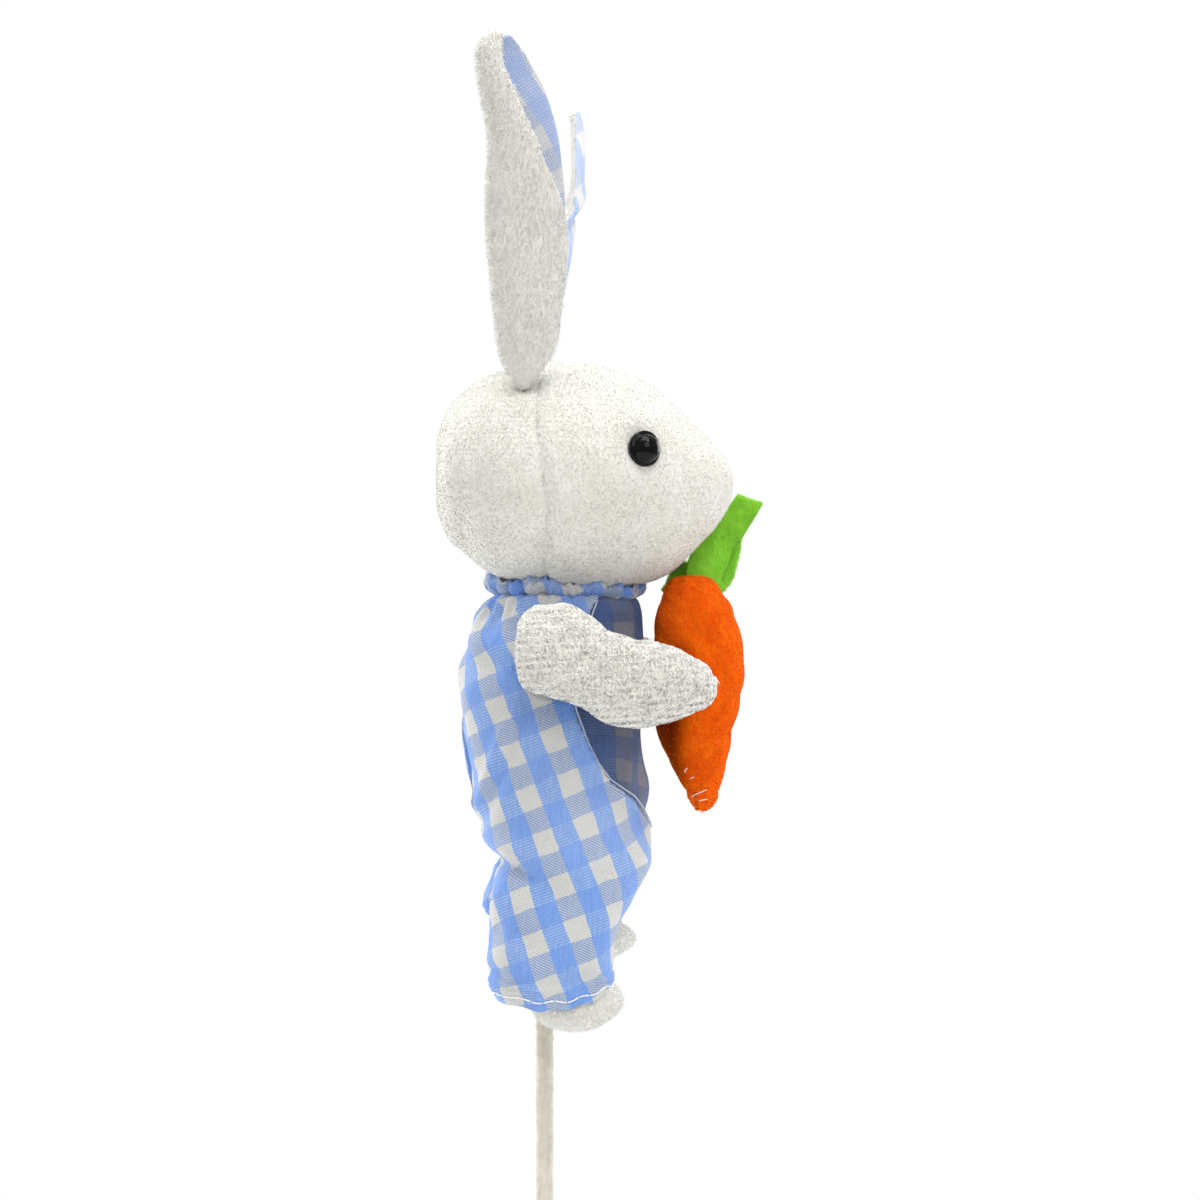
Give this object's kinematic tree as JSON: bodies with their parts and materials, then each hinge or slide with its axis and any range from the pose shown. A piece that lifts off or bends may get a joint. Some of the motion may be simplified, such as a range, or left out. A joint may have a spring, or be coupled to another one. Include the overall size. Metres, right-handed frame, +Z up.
{
  "type": "plush rabbit pick",
  "caption": "Small stuffed rabbit in checked overalls hugging a felt carrot, mounted on a wrapped rod that is pushed into a pot, wreath or foam block.",
  "frame": {"origin": "centre of the rod's lower end", "axes": "+Z up along the rod, the rabbit faces -Y, its right-hand side is -X"},
  "size_m": [0.08, 0.0814, 0.4046],
  "materials": {
    "plush": "white short-pile plush",
    "stuffing": "polyester fibre filling",
    "orange_felt": "orange felt",
    "thread": "white sewing thread",
    "gingham": "blue and white check cotton",
    "eye_plastic": "polished black",
    "washer_plastic": "moulded washer",
    "green_felt": "bright green felt",
    "nose_thread": "pink satin stitch",
    "glue": "hot-melt glue",
    "rod_wood": "plain birch rod",
    "wrap_paper": "off-white florist tape, wound",
    "lining_cotton": "plain white cotton"
  },
  "bodies": {
    "torso": {"crotch_tab": "gingham", "hip_cord": "thread", "neck_frill": "gingham", "neck_gather_thread": "thread", "overalls_back": "gingham", "overalls_front": "gingham", "rod_glue": "glue", "shoulder_cord": "thread", "stick_rod": "rod_wood", "stick_wrap": "wrap_paper", "torso_bag": "lining_cotton", "torso_stuffing": "stuffing"},
    "head": {"ear_thread_left": "thread", "ear_thread_right": "thread", "eye_left": "eye_plastic", "eye_right": "eye_plastic", "eye_washer_left": "washer_plastic", "eye_washer_right": "washer_plastic", "face_panel_left": "plush", "face_panel_right": "plush", "head_back_panel": "plush", "head_stuffing": "stuffing", "nose_stitching": "nose_thread"},
    "right_ear": {"ear_plush_right": "plush", "ear_lining_right": "gingham"},
    "left_ear": {"ear_plush_left": "plush", "ear_lining_left": "gingham"},
    "arms": {"arm_plush_left": "plush", "arm_plush_right": "plush", "arm_stuffing_left": "stuffing", "arm_stuffing_right": "stuffing", "carrot_felt": "orange_felt", "carrot_stuffing": "stuffing", "carrot_tip_knot": "thread", "leaf_front": "green_felt", "leaf_middle": "green_felt", "leaf_rear": "green_felt", "paw_glue_left": "glue", "paw_glue_right": "glue"},
    "right_leg": {"leg_plush_right": "plush", "leg_stuffing_right": "stuffing", "trouser_leg_right": "gingham"},
    "left_leg": {"leg_plush_left": "plush", "leg_stuffing_left": "stuffing", "trouser_leg_left": "gingham"}
  },
  "joints": [
    {"name": "neck_turn", "type": "hinge", "parent": "torso", "child": "head", "pos_m": [0, 0, 0.28], "axis": [0, 0, 1], "range_deg": [-20, 20]},
    {"name": "right_ear_tilt", "type": "hinge", "parent": "head", "child": "right_ear", "pos_m": [-0.017, 0.0035, 0.322], "axis": [1, 0, 0], "range_deg": [-30, 30]},
    {"name": "left_ear_tilt", "type": "hinge", "parent": "head", "child": "left_ear", "pos_m": [0.017, 0.0035, 0.322], "axis": [1, 0, 0], "range_deg": [-30, 30]},
    {"name": "arms_swing", "type": "hinge", "parent": "torso", "child": "arms", "pos_m": [0, -0.003, 0.2572], "axis": [1, 0, 0], "range_deg": [-3, 2]},
    {"name": "right_leg_swing", "type": "hinge", "parent": "torso", "child": "right_leg", "pos_m": [-0.014, -0.0045, 0.207], "axis": [1, 0, 0], "range_deg": [-25, 15]},
    {"name": "left_leg_swing", "type": "hinge", "parent": "torso", "child": "left_leg", "pos_m": [0.014, -0.0045, 0.207], "axis": [1, 0, 0], "range_deg": [-25, 15]}
  ]
}
